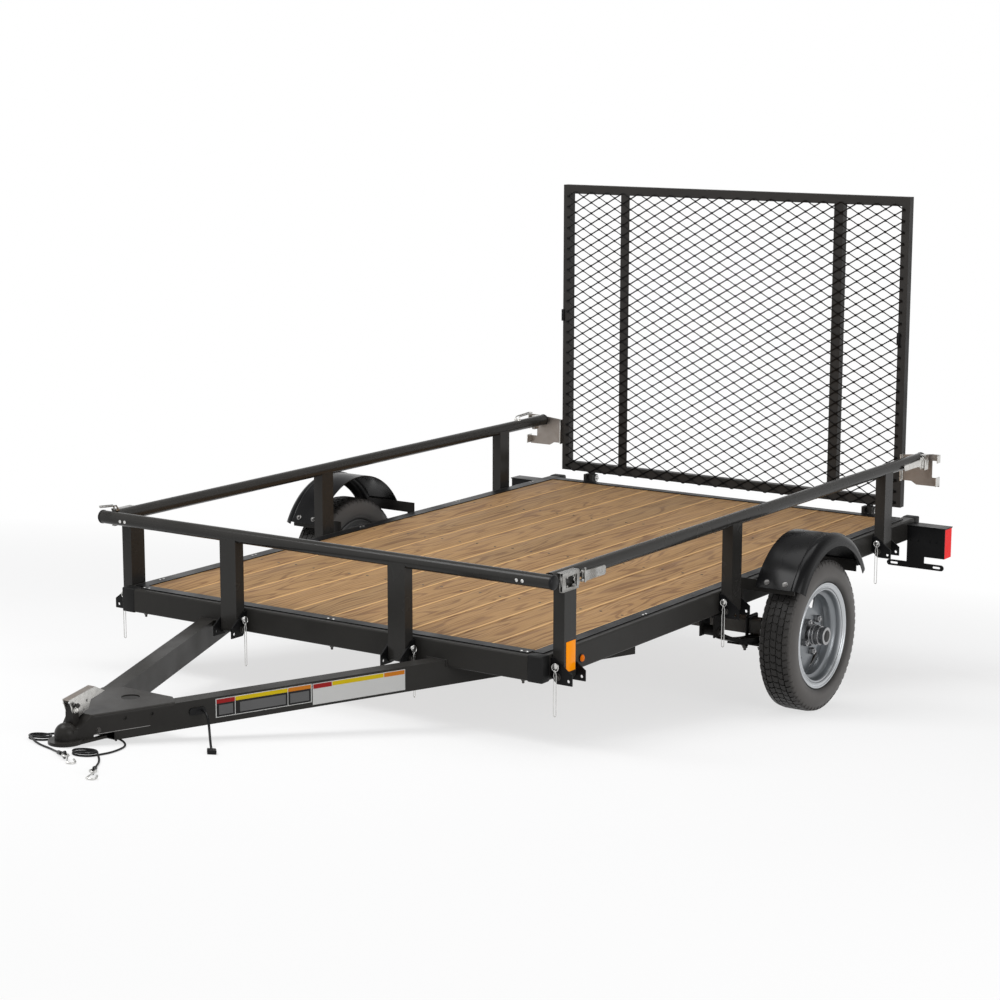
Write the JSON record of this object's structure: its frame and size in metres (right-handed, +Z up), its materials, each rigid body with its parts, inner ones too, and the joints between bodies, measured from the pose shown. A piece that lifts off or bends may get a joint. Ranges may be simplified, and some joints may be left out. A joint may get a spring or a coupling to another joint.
{
  "type": "utility trailer with ramp gate",
  "caption": "Single-axle utility trailer with a plank deck, fold-down tube rails, mesh ramp gate at the rear, round fenders and an A-frame tongue with a ball coupler.",
  "frame": {"origin": "on the floor, under the middle of the trailer's length and width, cords left out", "axes": "+X forward to the coupler, +Y to the trailer's left, +Z up; the deck slopes nose down"},
  "size_m": [3.9357, 2.122, 1.7689],
  "materials": {
    "amber_lens": "amber moulded lens",
    "axle_paint": "grey primer",
    "bare_steel": "bare hot rolled steel",
    "black_plastic": "moulded black plastic",
    "bracket_paint": "black satin enamel",
    "coupler_paint": "black satin enamel",
    "fender_paint": "black gloss paint",
    "ferrule_sleeve": "black heat-shrunk sleeve over a crimp",
    "frame_paint": "dark charcoal satin enamel",
    "gate_paint": "dark charcoal satin enamel",
    "hub_steel": "turned steel",
    "lamp_housing": "black plastic",
    "pine_boards": "planed pine",
    "rail_paint": "dark charcoal satin enamel",
    "red_lens": "red moulded lens",
    "safety_cable": "plated wire rope in a clear sleeve",
    "spring_paint": "black paint",
    "strip_paint": "black satin enamel",
    "tyre_rubber": "black rubber",
    "wheel_silver": "silver enamel",
    "wire_jacket": "black cable jacket",
    "zinc_steel": "zinc plated"
  },
  "bodies": {
    "chassis": {"axle": "axle_paint", "axle_clamps": "zinc_steel", "cable_anchor": "zinc_steel", "cable_coils": "safety_cable", "cable_ferrules": "ferrule_sleeve", "cable_hooks": "zinc_steel", "coupler_head": "coupler_paint", "coupler_latch": "zinc_steel", "coupler_plate": "coupler_paint", "cross_members": "frame_paint", "deck_boards": "pine_boards", "end_caps": "black_plastic", "fender_arms": "frame_paint", "fender_left": "fender_paint", "fender_right": "fender_paint", "front_member": "frame_paint", "gate_hinge_lugs": "frame_paint", "hold_down_strips": "strip_paint", "lamp_plates": "bracket_paint", "leaf_spring_left": "spring_paint", "leaf_spring_right": "spring_paint", "lock_pins": "zinc_steel", "rail_brackets": "bracket_paint", "rear_member": "frame_paint", "safety_cable_left": "safety_cable", "safety_cable_right": "safety_cable", "side_markers": "amber_lens", "side_tube_left": "frame_paint", "side_tube_right": "frame_paint", "spring_hangers": "spring_paint", "tail_lamp_housings": "lamp_housing", "tail_lamp_lenses": "red_lens", "tongue_tube_left": "frame_paint", "tongue_tube_right": "frame_paint", "wiring_cord": "wire_jacket", "wiring_grommet": "black_plastic", "wiring_plug": "black_plastic"},
    "wheel_left": {"tyre_left": "tyre_rubber", "wheel_rim_left": "wheel_silver", "wheel_hub_left": "hub_steel"},
    "wheel_right": {"tyre_right": "tyre_rubber", "wheel_rim_right": "wheel_silver", "wheel_hub_right": "hub_steel"},
    "gate": {"gate_frame": "gate_paint", "gate_uprights": "gate_paint", "gate_mesh": "gate_paint", "gate_catches": "bare_steel"},
    "left_rail": {"side_rail_left": "rail_paint", "toggle_latches_left": "zinc_steel"},
    "right_rail": {"side_rail_right": "rail_paint", "toggle_latches_right": "zinc_steel"},
    "front_rail": {"front_rail": "rail_paint"}
  },
  "joints": [
    {"name": "wheel_left_spin", "type": "hinge", "parent": "chassis", "child": "wheel_left", "pos_m": [-0.65659, 0.968, 0.254], "axis": [0, 1, 0], "continuous": true},
    {"name": "wheel_right_spin", "type": "hinge", "parent": "chassis", "child": "wheel_right", "pos_m": [-0.65659, -0.968, 0.254], "axis": [0, 1, 0], "continuous": true},
    {"name": "gate_swing", "type": "hinge", "parent": "chassis", "child": "gate", "pos_m": [-1.81485, 0, 0.59482], "axis": [0, -1, 0], "range_deg": [0, 112]},
    {"name": "left_rail_fold", "type": "hinge", "parent": "chassis", "child": "left_rail", "pos_m": [-0.55192, 0.835, 0.36367], "axis": [-0.992, 0, 0.1261], "range_deg": [0, 33]},
    {"name": "right_rail_fold", "type": "hinge", "parent": "chassis", "child": "right_rail", "pos_m": [-0.55192, -0.835, 0.36367], "axis": [0.992, 0, -0.1261], "range_deg": [0, 33]},
    {"name": "front_rail_fold", "type": "hinge", "parent": "chassis", "child": "front_rail", "pos_m": [0.74662, 0, 0.19856], "axis": [0, 1, 0], "range_deg": [0, 75]}
  ]
}
